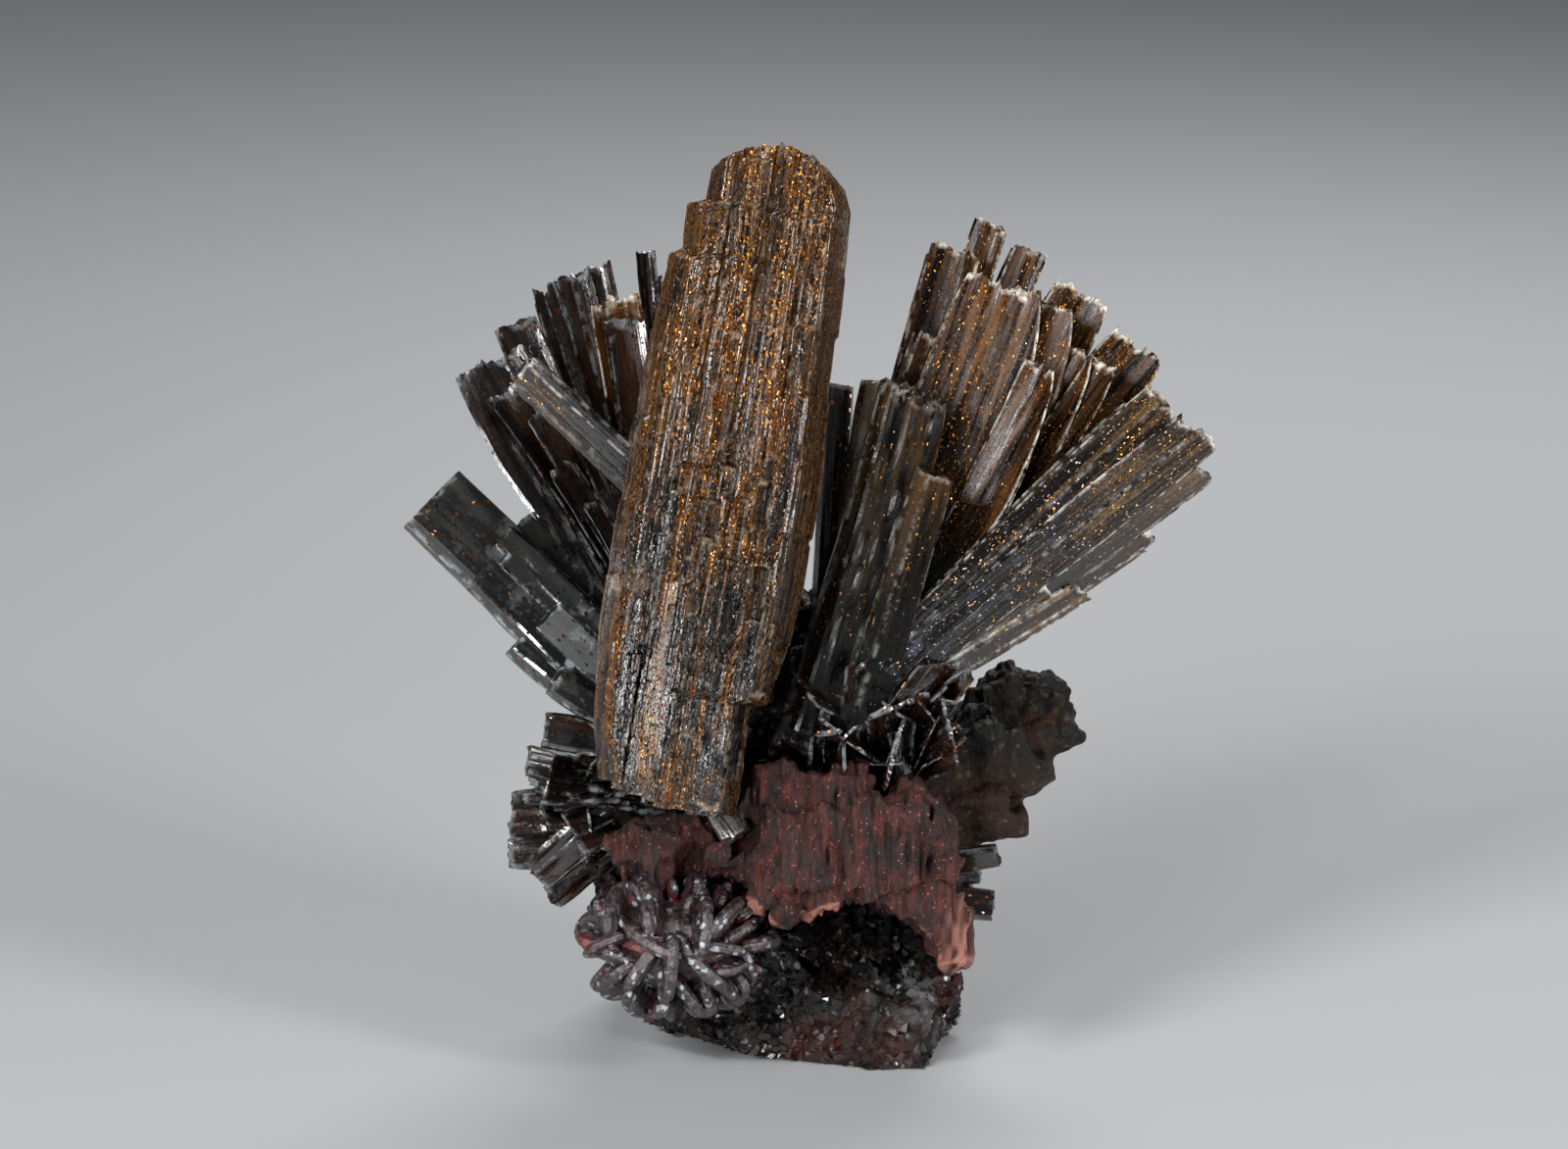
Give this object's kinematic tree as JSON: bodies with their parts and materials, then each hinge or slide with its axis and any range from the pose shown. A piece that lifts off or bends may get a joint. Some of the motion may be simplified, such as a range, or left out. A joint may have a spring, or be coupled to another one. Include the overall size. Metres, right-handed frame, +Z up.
{
  "type": "goethite mineral specimen",
  "caption": "Natural goethite specimen: a large doubly ended striated crystal before fans of bladed crystals, with a rosette of tablets, on a red-brown and black iron-oxide matrix.",
  "frame": {"origin": "on the flat broken underside of the matrix, under the foot of the specimen", "axes": "+Z up, the long way of the specimen; the large crystal faces -Y; the fans spread along X"},
  "size_m": [0.0333, 0.0176, 0.0377],
  "materials": {
    "goethite_bronze": "striated, submetallic, bronze brown with gold glints",
    "goethite_black": "lustrous black brown, fine growth lines",
    "tablet_grey": "grey brown metallic tablets",
    "hematite_red": "earthy red brown, rough",
    "crust_black": "knobby brown black crust, sparkling grains"
  },
  "bodies": {
    "root": {"main_crystal": "goethite_bronze", "right_fan_front": "goethite_black", "right_fan_outer": "goethite_bronze", "right_fan_sheaf": "goethite_bronze", "sliver_blade": "goethite_black", "gold_bar": "goethite_bronze", "left_fan": "goethite_black", "left_prism": "goethite_black", "left_dark_plates": "goethite_black", "middle_plates": "goethite_black", "right_block": "goethite_black", "stub_crystals": "goethite_black", "grey_blade": "goethite_black", "rosette": "tablet_grey", "red_block": "hematite_red", "dark_crust": "crust_black"}
  },
  "joints": []
}
